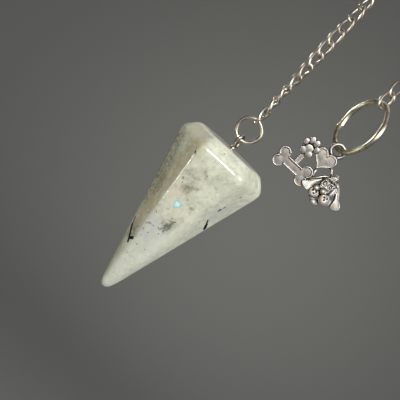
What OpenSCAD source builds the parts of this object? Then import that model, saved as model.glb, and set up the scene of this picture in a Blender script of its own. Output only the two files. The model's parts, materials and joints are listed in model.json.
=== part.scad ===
// Pendulum pendant: a six-sided stone point on a small ring, a curb chain that
// hangs over a hook, and a large holding ring with a dog charm at its other end.
// Millimetres. The origin is the middle of the hook, under the bend of the chain.
// The front, with the dog's face, looks along -Y.

/* [Chain] */
// Distance from one joint of the chain to the next
link_pitch = 3.15; // [2.9:0.05:4]
// Thickness of the wire of a link
link_wire = 0.57; // [0.45:0.01:0.65]
// Outside width of a link
link_width = 2.7; // [2.5:0.05:3.3]
// Number of links between the hook and the stone
stone_side_links = 24; // [14:1:34]
// Number of links between the hook and the holding ring
charm_side_links = 18; // [10:1:28]

/* [Hook] */
// Radius of the bend that the chain makes over the hook
bend_radius = 8.2; // [6.5:0.1:12]
// Angle by which the joints lie round the hook towards the charm
bend_shift = -2.8; // [-5:0.1:5]

/* [Stone] */
// Length of the stone from its flat top to its tip
stone_length = 40; // [30:0.5:55]
// Widest distance across two opposite corners
girdle_width = 22; // [17:0.5:28]
// Distance across two opposite corners of the flat top
table_width = 16.8; // [10:0.1:17.2]
// Height of the sloped band between the flat top and the widest place
crown_height = 3; // [1.8:0.1:6]
// Rounding of the polished edges
edge_radius = 1; // [0.5:0.05:1.5]
// Rounding of the tip
tip_radius = 1.25; // [0.8:0.05:2]
// Turn of the front facet towards the right
stone_turn = 2.5; // [-30:0.5:30]

/* [Eye pin] */
// Thickness of the wire of the eye
eye_wire = 0.7; // [0.5:0.05:0.9]
// Outside width of the eye
eye_width = 2.6; // [2.4:0.05:3.6]
// Outside height of the eye
eye_height = 3.5; // [3:0.1:5]
// Turn of the eye out of the fore-and-aft line
eye_turn = -24; // [-35:1:35]
// Thickness of the peg under the eye
peg_width = 1; // [0.8:0.05:1.6]
// Depth of the peg in the stone
peg_depth = 4; // [2:0.1:7]
// Part of the peg that shows above the flat top
peg_show = 0.35; // [0.2:0.05:1.5]

/* [Drop ring] */
// Outside diameter of the small ring
drop_ring_width = 6; // [5:0.1:9]
// Thickness of the wire of the small ring
drop_ring_wire = 0.7; // [0.5:0.05:0.9]

/* [Holding ring] */
// Outside diameter of the ring that is held
holding_ring_width = 14; // [11:0.1:20]
// Thickness of its wire
holding_ring_wire = 1.1; // [0.8:0.05:1.25]
// Turn of the ring, its right half towards the front
holding_ring_turn = -60; // [-70:1:-20]
// Width of the slit where the ends of the wire meet
closure_slit = 0.12; // [0.05:0.01:0.3]
// Angle of that slit round the ring
closure_angle = 201; // [190:1:240]

/* [Charm] */
// Thickness of the cast charm
charm_thickness = 1.6; // [1:0.1:2.4]
// Outside diameter of the loop of the charm
loop_width = 3.7; // [3.5:0.05:5]
// Thickness of the loop
loop_wire = 0.84; // [0.6:0.02:0.9]
// Width of the heart
heart_width = 5.2; // [4:0.1:7]
// Height of the heart
heart_height = 4.6; // [3.5:0.1:6]
// Width of the paw print
paw_width = 3.7; // [2.8:0.1:4.6]
// Height of the paw print
paw_height = 4.4; // [3.4:0.1:5.2]
// Length of the bone
bone_length = 8.7; // [7:0.1:11]
// Height of the ends of the bone
bone_height = 4.8; // [3.6:0.1:6]
// Width of the dog's head across its cheeks
head_width = 5.2; // [4.4:0.1:6.5]
// Height of the dog's head from forelock to chin
head_height = 8.4; // [7:0.1:10]
// Length of a hanging ear
ear_length = 5.4; // [4:0.1:7]

/* [Fit] */
// Free play between two wires that hang in each other
slack = 0.16; // [0.12:0.01:0.3]
// Play of the peg in its hole
peg_play = 0.12; // [0.05:0.01:0.2]

/* [Hidden] */
$fn = 48;
metal = "#b9b4ac";

// The chain, whose joints are counted from the stone over the hook to the holding ring.
// A link lies between two joints, and its ends reach past them by half a wire.
bend_step = 2 * asin(link_pitch / (2 * bend_radius));
bend_links = round(180 / bend_step);
total_links = stone_side_links + bend_links + charm_side_links;
link_reach = (link_pitch + link_wire + slack) / 2;
link_sides = 16;
wire_sides = 6;
// Power that makes the oval of a link fuller than an ellipse
oval_power = 2 / 2.8;
// Angle between the two ends of a link, which lets the links lie flat on each other
link_twist = 90;

// Turn of the links from facing the front, from the stone upwards, as the strand hangs
stone_side_faces = [70, 85, 80, 70, 50, 38, 18, 0, -20, -32, -50, -64, -76, -86];
// The same from the holding ring upwards
charm_side_faces = [0, -4, -12, -24, -38, -52, -66, -80];
// Turn of a link that lies flat over the hook
hook_face = -90;

function bend_joint(k) =
    let (a = (k - bend_links / 2) * bend_step + bend_shift)
    bend_radius * [sin(a), 0, cos(a)];
function below(p, links) = p - [0, 0, links * link_pitch];
function chain_joint(i) =
    i < stone_side_links ? below(bend_joint(0), stone_side_links - i)
    : i <= stone_side_links + bend_links ? bend_joint(i - stone_side_links)
    : below(bend_joint(bend_links), i - stone_side_links - bend_links);
function from_table(faces, i) = i < len(faces) ? faces[i] : hook_face;
function link_face(i) =
    i < stone_side_links ? from_table(stone_side_faces, i)
    : i < stone_side_links + bend_links ? hook_face
    : from_table(charm_side_faces, total_links - 1 - i);

// The oval of a link, its points counted round it: [across, along]
function power(v) = sign(v) * pow(abs(v), oval_power);
function oval(k) =
    let (t = 360 * (k + 0.5) / link_sides)
    [(link_width - link_wire) / 2 * power(cos(t)), link_reach * power(sin(t))];
function twist_at(along) = -link_twist * along / (2 * link_reach);
function link_point(k) =
    let (p = oval(k), a = twist_at(p[1]))
    [p[0] * cos(a), p[0] * sin(a), p[1]];
function unit(v) = v / norm(v);
// A point on the wire: round the middle line, square to its run at that place
function wire_point(k, j) =
    let (
        run = unit(link_point(k + 1) - link_point(k - 1)),
        a = twist_at(oval(k)[1]),
        flat = [-sin(a), cos(a), 0],
        up = unit(flat - (flat * run) * run),
        out = cross(run, up),
        t = 360 * j / wire_sides
    )
    link_point(k) + link_wire / 2 * (cos(t) * out + sin(t) * up);
function wire_index(k, j) = (k % link_sides) * wire_sides + j % wire_sides;

// Ends of the two strands
stone_joint = chain_joint(0);
charm_joint = chain_joint(total_links);

// The small ring hangs in the last link, and the eye in the ring
drop_ring_radius = (drop_ring_width - drop_ring_wire) / 2;
drop_ring_z = stone_joint[2] + (drop_ring_wire + slack) / 2 - drop_ring_radius;
eye_radius = (eye_width - eye_wire) / 2;
eye_top_z = drop_ring_z - drop_ring_radius + (drop_ring_wire + eye_wire) / 2 + slack;
eye_arch_z = eye_top_z - eye_radius;
eye_leg = eye_height - eye_width;
table_z = eye_top_z + eye_wire / 2 - eye_height - peg_show;

// The holding ring hangs in the other end of the chain, and the charm in the ring
holding_ring_radius = (holding_ring_width - holding_ring_wire) / 2;
holding_ring_z = charm_joint[2] + (holding_ring_wire + slack) / 2 - holding_ring_radius;
slit_angle = closure_slit / holding_ring_radius * 180 / PI;
loop_radius = (loop_width - loop_wire) / 2;
loop_z = holding_ring_z - holding_ring_radius + (holding_ring_wire + loop_wire) / 2 + slack - loop_radius;

// Places of the cast pieces of the charm, [x, z] from the middle of its loop
charm_sides = 14;
charm_edge = charm_thickness / 6;
heart_top = [-heart_width / 6, loop_wire * 3 / 4 - loop_width / 2];
heart_lobe = heart_width * 0.27;
heart_tip = heart_top - [0, heart_height];
paw_top = heart_top - [heart_width / 2 + paw_width * 0.34, 0];
bone_knob = bone_height * 0.28;
bone_shaft = bone_height * 0.29;
bone_half = bone_length / 2 - bone_knob;
bone_place = heart_tip - [bone_half + bone_knob * 0.7, bone_height * 0.6];
bone_right = bone_place + [bone_half, 0];
head_top = [heart_top[0] + heart_width * 0.86, heart_top[1] - heart_height / 2];

// Discs of the paw print: [across, down, radius], as shares of its width, its height and
// its width, counted from the middle of its top
pad_discs = [[0, 0.5, 0.2], [-0.19, 0.78, 0.19], [0.19, 0.78, 0.19]];
toe_discs = [[-0.37, 0.38, 0.15], [-0.15, 0.13, 0.16], [0.15, 0.13, 0.16], [0.37, 0.38, 0.15]];

// Beads of the dog's head: [across, down, out, radius], as shares of the head's width,
// its height, its width and its width, counted from the middle of its top. Every row
// of beads is one rounded piece.
head_pieces = [
    // Forelock
    [[-0.12, 0.06, 0.02, 0.1], [0.09, 0.05, 0.02, 0.1], [0, 0.21, 0.1, 0.09]],
    // Skull with the cheeks
    [[-0.12, 0.29, 0, 0.18], [0.16, 0.29, 0, 0.18], [-0.12, 0.62, 0.02, 0.2], [0.18, 0.62, 0.02, 0.2]],
    // Brows
    [[-0.15, 0.25, 0.14, 0.09]],
    [[0.12, 0.24, 0.14, 0.08]],
    // Eyes
    [[-0.16, 0.37, 0.16, 0.08], [-0.16, 0.44, 0.16, 0.08]],
    [[0.1, 0.36, 0.16, 0.075], [0.1, 0.43, 0.16, 0.075]],
    // Nose
    [[0.02, 0.57, 0.24, 0.135]],
    // Muzzle
    [[-0.24, 0.7, 0.08, 0.23]],
    [[0.33, 0.7, 0.08, 0.24]],
    // Chin
    [[0.04, 0.76, 0, 0.18], [0.05, 0.9, 0.04, 0.155]]
];
// Roots of the two ears: [across, down], in the same shares, and the stations of each ear
// from its root: [across, down, radius], as shares of the ear's length
left_ear_root = [-0.22, 0.2];
left_ear_band = [[0, 0, 0.085], [-0.15, 0.16, 0.085], [-0.27, 0.34, 0.095]];
left_ear_flap = [[-0.27, 0.34, 0.095], [-0.37, 0.86, 0.085], [-0.61, 0.81, 0.085]];
right_ear_root = [0.17, 0.2];
right_ear_band = [[0, 0, 0.08], [0.19, 0.1, 0.08], [0.37, 0.41, 0.09], [0.59, 0.78, 0.15]];

// A round wire ring upright in the front plane, its middle at the given height
module wire_ring(radius, wire, from = 0, sweep = 360)
    rotate([90, 0, 0])
        rotate([0, 0, from])
            rotate_extrude(angle = sweep)
                translate([radius, 0])
                    circle(d = wire);

// One twisted link along +Z, its middle at the origin
module chain_link() {
    rings = [for (k = [0:link_sides - 1]) for (j = [0:wire_sides - 1]) wire_point(k, j)];
    skin = [
        for (k = [0:link_sides - 1]) for (j = [0:wire_sides - 1])
            for (half = [0, 1])
                half == 0
                ? [wire_index(k, j), wire_index(k + 1, j + 1), wire_index(k + 1, j)]
                : [wire_index(k, j), wire_index(k, j + 1), wire_index(k + 1, j + 1)]
    ];
    polyhedron(points = rings, faces = skin);
}

// All links of the chain, each between its two joints
module curb_chain() color(metal)
    for (i = [0:total_links - 1]) {
        from = chain_joint(i);
        to = chain_joint(i + 1);
        translate((from + to) / 2)
            rotate([0, atan2(to[0] - from[0], to[2] - from[2]), 0])
                rotate([0, 0, link_face(i)])
                    chain_link();
    }

// Small round ring between the chain and the stone
module drop_ring() color(metal)
    translate([stone_joint[0], 0, drop_ring_z])
        wire_ring(drop_ring_radius, drop_ring_wire);

// Upright eye with straight sides and a peg that is glued into the stone
module eye_pin() color(metal)
    translate([stone_joint[0], 0, eye_arch_z])
        rotate([0, 0, eye_turn + 90]) {
            wire_ring(eye_radius, eye_wire, 0, 180);
            for (side = [-1, 1])
                translate([side * eye_radius, 0, -eye_leg])
                    cylinder(h = eye_leg, d = eye_wire);
            translate([0, 0, -eye_leg])
                wire_ring(eye_radius, eye_wire, 180, 180);
            translate([0, 0, -eye_leg - eye_radius - eye_wire / 2 - peg_show - peg_depth])
                cylinder(h = peg_depth + peg_show + eye_wire / 2, d = peg_width);
        }

// Six-sided point with a flat top, a sloped band and rounded edges
module stone_form() hull() {
    for (corner = [0:5])
        rotate([0, 0, corner * 60 + stone_turn]) {
            translate([table_width / 2 - edge_radius / 2, 0, -edge_radius])
                sphere(edge_radius, $fn = 24);
            translate([girdle_width / 2 - edge_radius, 0, -crown_height])
                sphere(edge_radius, $fn = 24);
        }
    translate([0, 0, tip_radius - stone_length])
        sphere(tip_radius, $fn = 24);
}
module pendulum_stone() color("#dcdcc8")
    translate([stone_joint[0], 0, table_z])
        difference() {
            stone_form();
            translate([0, 0, -peg_depth - peg_play])
                cylinder(h = peg_depth + crown_height, d = peg_width + 2 * peg_play);
        }

// Ring that is held between the fingers, open by a slit where its wire ends meet
module holding_ring() color("#c4bca4")
    translate([charm_joint[0], 0, holding_ring_z])
        rotate([0, 0, holding_ring_turn])
            wire_ring(
                holding_ring_radius, holding_ring_wire, closure_angle + slit_angle / 2, 360 - slit_angle
            );

// Pieces of the charm, whose fronts face -Y and whose edges are broken like cast ones.
// A flat round piece
module disc(place, radius, thickness = charm_thickness)
    translate([place[0], 0, place[1]])
        rotate([90, 0, 0])
            hull() {
                cylinder(h = thickness, r = radius - charm_edge, center = true);
                cylinder(h = thickness - 2 * charm_edge, r = radius, center = true);
            }
// A flat bar with round ends
module bar(from, to, width)
    hull() {
        disc(from, width / 2);
        disc(to, width / 2);
    }
// A round bead, its middle moved out to the front
module bead(place, radius, out = 0)
    translate([place[0], -out, place[1]])
        sphere(radius);
// A flat pebble, as thick as the charm or as it is wide
module pebble(place, radius)
    translate([place[0], 0, place[1]])
        scale([1, min(1, charm_thickness / 2 / radius), 1])
            sphere(radius);

// Heart with swollen front and back
module heart()
    for (side = [-1, 1])
        hull() {
            pebble(heart_top + [side * (heart_width / 2 - heart_lobe), -heart_lobe], heart_lobe);
            pebble(heart_tip + [0, charm_thickness / 4], charm_thickness / 4);
        }
// Paw print: a pad and four toes on a thin round plate, with a stem down to the bone
module paw_print() {
    hull()
        for (row = pad_discs)
            disc(paw_top + [row[0] * paw_width, -row[1] * paw_height], row[2] * paw_width);
    for (row = toe_discs)
        disc(paw_top + [row[0] * paw_width, -row[1] * paw_height], row[2] * paw_width);
    disc(paw_top - [0, paw_height / 2], paw_width * 0.4, charm_thickness / 2);
    bar(paw_top - [0, paw_height * 0.8], [paw_top[0], bone_place[1]], paw_width * 0.3);
}
// Lying bone: a shaft with two knobs at each end
module bone() {
    bar(bone_place - [bone_half, 0], bone_right, 2 * bone_shaft);
    for (side = [-1, 1]) for (rise = [-1, 1])
        disc(bone_place + [side * bone_half, rise * (bone_height / 2 - bone_knob)], bone_knob);
}
// Flat strip through pebbles of changing size: its stations are [x, z, radius]
module strip(stations)
    for (n = [1:len(stations) - 1])
        hull()
            for (m = [n - 1, n])
                pebble([stations[m][0], stations[m][1]], stations[m][2]);
// A place on the dog's head from its shares
function head_place(row) = head_top + [row[0] * head_width, -row[1] * head_height];
// The stations of an ear, turned into [x, z, radius]
function ear_stations(root, rows) = [
    for (row = rows)
        concat(head_place(root) + ear_length * [row[0], -row[1]], [row[2] * ear_length])
];
// Dog's head with forelock, skull, brows, eyes, nose, muzzle, chin and two hanging ears
module dog_head() {
    for (beads = head_pieces)
        hull()
            for (row = beads)
                bead(head_place(row), row[3] * head_width, row[2] * head_width);
    strip(ear_stations(left_ear_root, left_ear_band));
    hull()
        for (station = ear_stations(left_ear_root, left_ear_flap))
            pebble([station[0], station[1]], station[2]);
    strip(ear_stations(right_ear_root, right_ear_band));
}
// Thin struts that join the heart to the forelock and to the bone
module struts() {
    strip([
        [heart_top[0] + heart_width / 4, heart_top[1] - heart_height / 2, charm_thickness / 4],
        [head_top[0] - head_width * 0.12, head_top[1] - head_height * 0.08, charm_thickness / 4]
    ]);
    strip([
        [heart_tip[0], heart_tip[1] + charm_thickness / 3, charm_thickness / 4],
        [bone_right[0] + bone_knob * 0.6, bone_right[1] + bone_knob, charm_thickness / 4]
    ]);
}
// Cast charm that hangs by its loop on the holding ring
module dog_charm() color("#a8a6a2")
    translate([charm_joint[0], 0, loop_z]) {
        $fn = charm_sides;
        wire_ring(loop_radius, loop_wire);
        heart();
        paw_print();
        bone();
        dog_head();
        struts();
    }

pendulum_stone();
eye_pin();
drop_ring();
curb_chain();
holding_ring();
dog_charm();
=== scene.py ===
# %% [markdown]
# # A pendulum pendant, dressed in Blender
#
# The object is a polished six-sided point of milky stone. It hangs by a wire eye and a
# small ring on a curb chain, and the chain's other end carries a large ring and a cast
# charm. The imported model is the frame: it says where every piece hangs and how it moves.
# This lesson makes each piece again as a fine surface, in the same places, and gives it
# its finish. All shapes are worked out in millimetres and turned into metres at the end.

# %% Load the frame
import json
import math
import bpy
import numpy as np
from mathutils import Matrix, Vector


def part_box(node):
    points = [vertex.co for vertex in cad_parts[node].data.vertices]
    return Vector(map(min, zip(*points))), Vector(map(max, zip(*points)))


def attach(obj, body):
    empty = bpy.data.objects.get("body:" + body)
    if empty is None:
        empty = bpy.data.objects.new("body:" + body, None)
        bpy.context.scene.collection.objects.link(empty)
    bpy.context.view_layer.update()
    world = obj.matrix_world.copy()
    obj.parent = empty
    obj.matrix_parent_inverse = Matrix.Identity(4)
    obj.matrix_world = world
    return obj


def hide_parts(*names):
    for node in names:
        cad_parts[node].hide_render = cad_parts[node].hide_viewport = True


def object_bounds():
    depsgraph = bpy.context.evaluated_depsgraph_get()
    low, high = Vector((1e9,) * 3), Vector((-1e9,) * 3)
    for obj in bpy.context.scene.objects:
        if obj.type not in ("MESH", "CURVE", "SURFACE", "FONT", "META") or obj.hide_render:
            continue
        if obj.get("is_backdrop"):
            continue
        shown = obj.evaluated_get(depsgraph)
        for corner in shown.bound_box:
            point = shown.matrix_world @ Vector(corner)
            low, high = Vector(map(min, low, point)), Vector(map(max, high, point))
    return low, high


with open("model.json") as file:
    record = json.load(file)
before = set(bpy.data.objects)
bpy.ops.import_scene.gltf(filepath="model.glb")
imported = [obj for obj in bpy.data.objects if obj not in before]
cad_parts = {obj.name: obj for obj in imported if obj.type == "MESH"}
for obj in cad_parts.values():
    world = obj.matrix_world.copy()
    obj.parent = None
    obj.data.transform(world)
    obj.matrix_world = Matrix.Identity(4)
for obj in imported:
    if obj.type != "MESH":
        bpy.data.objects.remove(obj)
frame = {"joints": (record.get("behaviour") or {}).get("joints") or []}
cad_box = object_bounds()
MM = 0.001


def node_box(name):
    """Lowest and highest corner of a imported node, in millimetres."""
    low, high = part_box(name)
    return np.array(low) / MM, np.array(high) / MM


joint_places = {j["name"]: np.array(j["pos_m"]) / MM for j in frame["joints"]}
stone_x = joint_places["ring_sway"][0]
stone_top = node_box("pendulum_stone")[1][2]
print("stone axis at x %.2f mm, flat top at z %.2f mm" % (stone_x, stone_top))

# %% [markdown]
# ## Camera
#
# The photo was taken from close by, a little above the object, with the camera turned so
# far that the pendulum seems to lean. The camera comes first, because everything else is
# judged through it. It is built from a view direction, a distance and a roll, instead of
# by pushing angles about, so each value means one thing.

# %% Place the camera
VIEW_DISTANCE = 190
VIEW_DROP = math.radians(6.3)
VIEW_ROLL = math.radians(43.1)
AIM = np.array([-5.74, 0, -95.7])
FOCAL = 81.5
SENSOR = 36


def camera_turn(drop, roll):
    """Rotation of a camera that looks along +Y, tipped down by drop and rolled by roll
    anticlockwise as seen from behind it."""
    forward = Vector((0, math.cos(drop), -math.sin(drop)))
    right = Vector((1, 0, 0))
    up = right.cross(forward)
    right, up = (
        right * math.cos(roll) + up * math.sin(roll),
        up * math.cos(roll) - right * math.sin(roll),
    )
    return Matrix((right, up, -forward)).transposed(), forward


camera_data = bpy.data.cameras.new("photo_camera")
camera_data.lens = FOCAL
camera_data.sensor_width = SENSOR
camera_data.clip_start = 0.005
camera = bpy.data.objects.new("photo_camera", camera_data)
turn, forward = camera_turn(VIEW_DROP, VIEW_ROLL)
camera.matrix_world = (
    Matrix.Translation(Vector(AIM * MM) - forward * VIEW_DISTANCE * MM) @ turn.to_4x4()
)
bpy.context.scene.collection.objects.link(camera)
bpy.context.scene.camera = camera
bpy.context.scene.view_settings.view_transform = "Standard"
print("camera at", tuple(round(v, 3) for v in camera.matrix_world.translation))

# %% [markdown]
# ## From a grid of points to a mesh
#
# Every surface here is a grid: rows that follow each other along the shape, and columns
# that go round it. Such a grid could be pushed through a curve with a bevel or a screw
# modifier, but as plain arrays its formula stays in sight, and all points are found at
# once. Two helpers are enough for the whole jewel.

# %% Join grids into one mesh
def grid_faces(rows, columns, loop):
    """Corner numbers of a grid closed round its columns. An open grid gets a point at each
    end, numbered after the grid's own, and a fan of triangles that closes it."""
    row = np.arange(rows if loop else rows - 1)[:, None]
    column = np.arange(columns)[None, :]

    def at(r, c):
        return (r % rows) * columns + c % columns

    quads = np.stack(
        [at(row, column), at(row, column + 1), at(row + 1, column + 1), at(row + 1, column)], -1
    ).reshape(-1, 4)
    if loop:
        return quads, np.empty((0, 3), int)
    around = np.arange(columns)
    start = np.full(columns, rows * columns)
    fans = [
        np.stack([start, at(0, around + 1), at(0, around)], 1),
        np.stack([start + 1, at(rows - 1, around), at(rows - 1, around + 1)], 1),
    ]
    return quads, np.concatenate(fans)


def signed_volume(points, triangles):
    """Sum of the pyramids from the origin to each triangle: positive when faces look out."""
    a, b, c = (points[triangles[:, k]] for k in range(3))
    return np.einsum("ij,ij->i", a, np.cross(b, c)).sum() / 6


def mesh_of(name, grids, loops, scale=MM):
    """One mesh from closed grids of shape (rows, columns, 3). A grid whose faces look
    inwards is turned over."""
    points, faces, offset = [], [], 0
    for grid, loop in zip(grids, loops):
        rows, columns = grid.shape[:2]
        own = grid.reshape(-1, 3)
        if not loop:
            own = np.concatenate([own, grid[0].mean(0)[None], grid[-1].mean(0)[None]])
        quads, fans = grid_faces(rows, columns, loop)
        triangles = np.concatenate([quads[:, :3], quads[:, [0, 2, 3]], fans])
        if signed_volume(own, triangles) < 0:
            quads, fans = quads[:, ::-1], fans[:, ::-1]
        faces += (quads + offset).tolist() + (fans + offset).tolist()
        points.append(own)
        offset += len(own)
    mesh = bpy.data.meshes.new(name)
    mesh.from_pydata(np.concatenate(points) * scale, [], faces)
    mesh.shade_smooth()
    return mesh


def piece(name, mesh, material, body, slot, *nodes):
    """Puts a mesh into the scene as a piece that moves with a body and stands for nodes."""
    obj = bpy.data.objects.new(name, mesh)
    bpy.context.scene.collection.objects.link(obj)
    mesh.materials.append(material)
    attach(obj, body)
    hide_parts(*nodes)
    print("%s: %d faces" % (name, len(mesh.polygons)))
    return obj


# %% Carry a wire along a path
def unit(vectors):
    """Vectors scaled to length one."""
    return vectors / np.linalg.norm(vectors, axis=-1, keepdims=True)


def tube(path, radius, across, sides=20, loop=False):
    """A round wire along a path: at each point of the path a circle of the given radius
    lies square to the run of the path, and its first point looks towards across."""
    run = np.roll(path, -1, 0) - np.roll(path, 1, 0)
    if not loop:
        run[0], run[-1] = path[1] - path[0], path[-1] - path[-2]
    run = unit(run)
    across = np.broadcast_to(np.asarray(across, float), path.shape)
    out = unit(across - np.sum(across * run, 1, keepdims=True) * run)
    side = np.cross(run, out)
    angle = np.linspace(0, 2 * np.pi, sides, endpoint=False)[None, :, None]
    circle = np.cos(angle) * out[:, None] + np.sin(angle) * side[:, None]
    return path[:, None] + np.broadcast_to(radius, len(path))[:, None, None] * circle


def round_ends(path, radius, steps=5, bulge=1.0):
    """The path made longer by a rounded end on both sides: the wire narrows there along a
    quarter of a circle, stretched by bulge. Gives the path and its radii."""
    radius = np.broadcast_to(radius, len(path)).astype(float)
    t = np.linspace(0, np.pi / 2, steps + 2)[1:-1]
    first, last = unit(path[0] - path[1]), unit(path[-1] - path[-2])
    head = path[0] + radius[0] * bulge * np.sin(t)[::-1, None] * first
    tail = path[-1] + radius[-1] * bulge * np.sin(t)[:, None] * last
    return (
        np.concatenate([head, path, tail]),
        np.concatenate([radius[0] * np.cos(t)[::-1], radius, radius[-1] * np.cos(t)]),
    )


# %% [markdown]
# ## Finishes
#
# Three tones of wire, a cast metal and a stone make the jewel. Each finish is a small node
# tree that reads Object coordinates, which are millimetres here after one scaling, so a
# grain of half a millimetre is written as half a millimetre. The helpers keep the trees
# short to read.

# %% Helpers for node trees
class Tree:
    """A material's node tree with short ways to add nodes and links."""

    def __init__(self, name):
        self.material = bpy.data.materials.new(name)
        self.material.use_nodes = True
        self.nodes = self.material.node_tree.nodes
        self.links = self.material.node_tree.links
        self.shader = self.nodes["Principled BSDF"]
        coordinates = self.nodes.new("ShaderNodeTexCoord")
        self.place = self.vector("SCALE", coordinates.outputs["Object"], Scale=1 / MM)

    def fill(self, node, values):
        """Sets a node's sockets to values, or links them where a value is a socket too."""
        for key, value in values.items():
            socket = node.inputs[key]
            if isinstance(value, bpy.types.NodeSocket):
                self.links.new(value, socket)
            else:
                socket.default_value = (*value, 1.0) if socket.type == "RGBA" else value
        return node

    def math(self, operation, *values, clamp=False):
        """A sum, product or other operation on numbers."""
        node = self.nodes.new("ShaderNodeMath")
        node.operation = operation
        node.use_clamp = clamp
        return self.fill(node, dict(enumerate(values))).outputs[0]

    def vector(self, operation, *values, **named):
        """An operation on vectors. A dot product and a length come out as numbers."""
        node = self.nodes.new("ShaderNodeVectorMath")
        node.operation = operation
        self.fill(node, {**dict(enumerate(values)), **named})
        return node.outputs["Value" if operation in ("DOT_PRODUCT", "LENGTH") else "Vector"]

    def noise(
        self, size, detail=3.0, roughness=0.55, offset=(0, 0, 0), stretch=(1, 1, 1), place=None
    ):
        """Noise from 0 to 1 whose lumps are about size millimetres wide."""
        moved = self.vector("ADD", self.place if place is None else place, offset)
        shrunk = self.vector("MULTIPLY", moved, tuple(1 / (size * s) for s in stretch))
        values = {"Vector": shrunk, "Scale": 1.0, "Detail": detail, "Roughness": roughness}
        return self.fill(self.nodes.new("ShaderNodeTexNoise"), values).outputs["Fac"]

    def step(self, value, low, high, to_low=0.0, to_high=1.0):
        """A smooth step: to_low under low, to_high over high."""
        node = self.nodes.new("ShaderNodeMapRange")
        node.interpolation_type = "SMOOTHSTEP"
        ends = {"From Min": low, "From Max": high, "To Min": to_low, "To Max": to_high}
        return self.fill(node, {"Value": value, **ends}).outputs["Result"]

    def mix(self, share, first, second):
        """The first colour where share is 0, the second where it is 1."""
        node = self.nodes.new("ShaderNodeMix")
        node.data_type = "RGBA"
        return self.fill(node, {0: share, 6: first, 7: second}).outputs[2]

    def bump(self, height, depth):
        """Feeds a height from 0 to 1 into the shader as soft relief of depth millimetres."""
        values = {"Height": height, "Distance": depth * MM, "Strength": 0.3}
        node = self.fill(self.nodes.new("ShaderNodeBump"), values)
        self.links.new(node.outputs[0], self.shader.inputs["Normal"])

    def finish(self, **values):
        """Sets sockets of the shader by their names, with spaces written as underscores."""
        named = {key.replace("_", " "): value for key, value in values.items()}
        self.fill(self.shader, named)
        return self.material


# %% [markdown]
# ### Wire
#
# The chain and the small ring are plated wire with a slightly pink cast, darker where the plating
# has dulled. The eye's wire is darker all over: painted shade, because the eye sits in shadow
# inside the small ring. The large ring is yellower. A mirror-like metal would look like glass
# rods, so fine drawing marks and faint dull patches break the reflections up. The three differ in
# tone alone, so one function makes them.

# %% Make the wire finishes
PATCH_SIZE = 1.1
MARK_SIZE = 0.16
MARK_DEPTH = 0.012
BRIGHT_ROUGHNESS = 0.3
DULL_ROUGHNESS = 0.44


def wire_finish(name, bright, dull):
    """Bright metal with dull patches about a millimetre wide, which are rougher too, and
    fine marks as relief."""
    tree = Tree(name)
    patches = tree.step(tree.noise(PATCH_SIZE, 4.0), 0.45, 0.75)
    marks = tree.noise(MARK_SIZE, 2.0, offset=(3, 1, 7), stretch=(1, 1, 3))
    tree.bump(marks, MARK_DEPTH)
    return tree.finish(
        Base_Color=tree.mix(patches, bright, dull),
        Metallic=1.0,
        Roughness=tree.step(patches, 0.0, 1.0, BRIGHT_ROUGHNESS, DULL_ROUGHNESS),
    )


plated_wire = wire_finish("plated_wire", (0.60, 0.545, 0.46), (0.27, 0.22, 0.165))
# Painted shade: the eye's wire is darker because the eye sits in shadow inside the small ring
shaded_eye_wire = wire_finish("shaded_eye_wire", (0.43, 0.38, 0.31), (0.10, 0.08, 0.06))
warm_wire = wire_finish("warm_wire", (0.63, 0.575, 0.43), (0.27, 0.21, 0.12))
print("wires:", ", ".join(m.name for m in (plated_wire, shaded_eye_wire, warm_wire)))

# %% [markdown]
# ## Stone: a body of revolution pushed onto its facets
#
# The stone is a six-sided point with a flat top. Cutters call that top the table, the
# sloped band below it the crown, the widest line the girdle, and the long facets down to
# the tip the pavilion. The facets are flat, but the edges of a polished stone are never
# knife-sharp. Hull and bevel give edges of one width everywhere. Here the shape is a gauge:
# a number that says how far out a point lies, as a share of the way to the nearest facet.
# A plain maximum over the facets would give sharp edges. A high power mean of them rounds
# every edge, and more where it is far from the middle, just as hand polishing does.

# %% Facets of the stone
STONE_LENGTH = stone_top - node_box("pendulum_stone")[0][2]
STONE_TURN = math.radians(2.5)
TABLE_CORNER = 8.95
GIRDLE_CORNER = 11.5
CROWN = 2.95
SHARP_LENGTH = 45.3
TIP_SHIFT = -0.25
TIP_BALL = 1.4
TIP_LEAN = math.radians(40)
# Polishing takes this much off the facets at the tip
TIP_ALLOWANCE = 1.7
# Hand cut: the two corners in front stand a little closer than a sixth of a turn
CORNERS = np.radians([2.5, 62.5, 122.5, 182.5, 245.0, 300.6])
# Corners that are rubbed down further than the others, and how far in
RUBBED = {3: 0.985, 5: 0.965}
HEART_OF_STONE = np.array([0, 0, -12.0])


def corner_ring(radius, height):
    """Six corners of a facet line, on a circle of that radius and at that height."""
    return np.stack(
        [radius * np.cos(CORNERS), radius * np.sin(CORNERS), np.full(6, float(height))], 1
    )


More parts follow.
